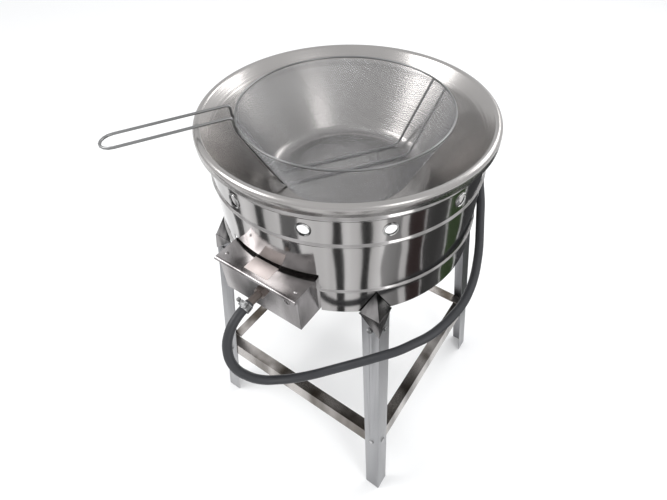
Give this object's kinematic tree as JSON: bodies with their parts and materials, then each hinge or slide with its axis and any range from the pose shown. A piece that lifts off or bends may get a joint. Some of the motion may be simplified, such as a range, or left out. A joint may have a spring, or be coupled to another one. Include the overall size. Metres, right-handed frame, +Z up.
{
  "type": "turkey fryer kit",
  "caption": "Gas kettle fryer: spun kettle in a polished vented drum casing on four splayed angle legs, with ring burner, burner box, gas hose, regulator and wire basket",
  "frame": {"origin": "on the floor, on the drum's vertical axis, midway between the four feet", "axes": "+Z up, -Y towards the burner box and its gas inlet, +X to the right seen from the front"},
  "size_m": [0.4667, 0.59, 0.729],
  "materials": {
    "spun_aluminium": "satin, spun",
    "stainless": "mirror polished",
    "satin_stainless": "satin",
    "zinc_steel": "bright zinc",
    "cast_iron": "rough cast",
    "brass": "machined",
    "dull_fitting": "dull, tarnished",
    "hose_rubber": "smooth, slight sheen",
    "regulator_paint": "hammered grey",
    "knob_plastic": "matte red",
    "label": "plain printed film",
    "basket_wire": "plated wire"
  },
  "bodies": {
    "stand": {"drum_casing": "stainless", "burner_ring": "cast_iron", "burner_bridge": "zinc_steel", "bridge_screws": "zinc_steel", "venturi_tube": "cast_iron", "gas_jet": "brass", "gas_inlet": "dull_fitting", "inlet_nut": "brass", "box_shell": "stainless", "box_lid": "stainless", "box_rivets": "stainless", "label_blank": "label", "hose_clamp": "zinc_steel", "clamp_screw": "zinc_steel", "gas_hose": "hose_rubber", "hose_clip": "zinc_steel", "clip_screw": "zinc_steel", "regulator_body": "regulator_paint", "regulator_spout": "brass", "regulator_clamp": "zinc_steel", "leg_front_left": "satin_stainless", "leg_front_right": "satin_stainless", "leg_rear_left": "satin_stainless", "leg_rear_right": "satin_stainless", "bracket_front_left": "stainless", "bracket_front_right": "stainless", "bracket_rear_left": "stainless", "bracket_rear_right": "stainless", "stretcher_front": "satin_stainless", "stretcher_rear": "satin_stainless", "stretcher_left": "satin_stainless", "stretcher_right": "satin_stainless", "bracket_screws": "zinc_steel", "stretcher_screws": "zinc_steel"},
    "kettle_pan": {"kettle": "spun_aluminium"},
    "basket": {"basket_mesh": "basket_wire", "basket_rim": "basket_wire", "basket_handle": "basket_wire"},
    "shutter": {"air_shutter": "zinc_steel", "shutter_knob": "brass"},
    "pressure_knob": {"regulator_knob": "knob_plastic"},
    "hand_nut": {"cylinder_nut": "brass"}
  },
  "joints": [
    {"name": "kettle_lift", "type": "slide", "parent": "stand", "child": "kettle_pan", "axis": [0, 0, 1], "range_m": [0, 0.2]},
    {"name": "basket_lift", "type": "slide", "parent": "kettle_pan", "child": "basket", "axis": [0, 0, 1], "range_m": [0, 0.2]},
    {"name": "shutter_turn", "type": "hinge", "parent": "stand", "child": "shutter", "pos_m": [0.016, -0.2013, 0.554], "axis": [0, 1, 0], "range_deg": [-40, 40]},
    {"name": "pressure_turn", "type": "hinge", "parent": "stand", "child": "pressure_knob", "pos_m": [0.048, 0.2473, 0.387], "axis": [0, 1, 0], "range_deg": [0, 270]},
    {"name": "nut_turn", "type": "hinge", "parent": "stand", "child": "hand_nut", "pos_m": [0.048, 0.228, 0.344], "axis": [0, 0, 1], "range_deg": [-180, 180]}
  ]
}
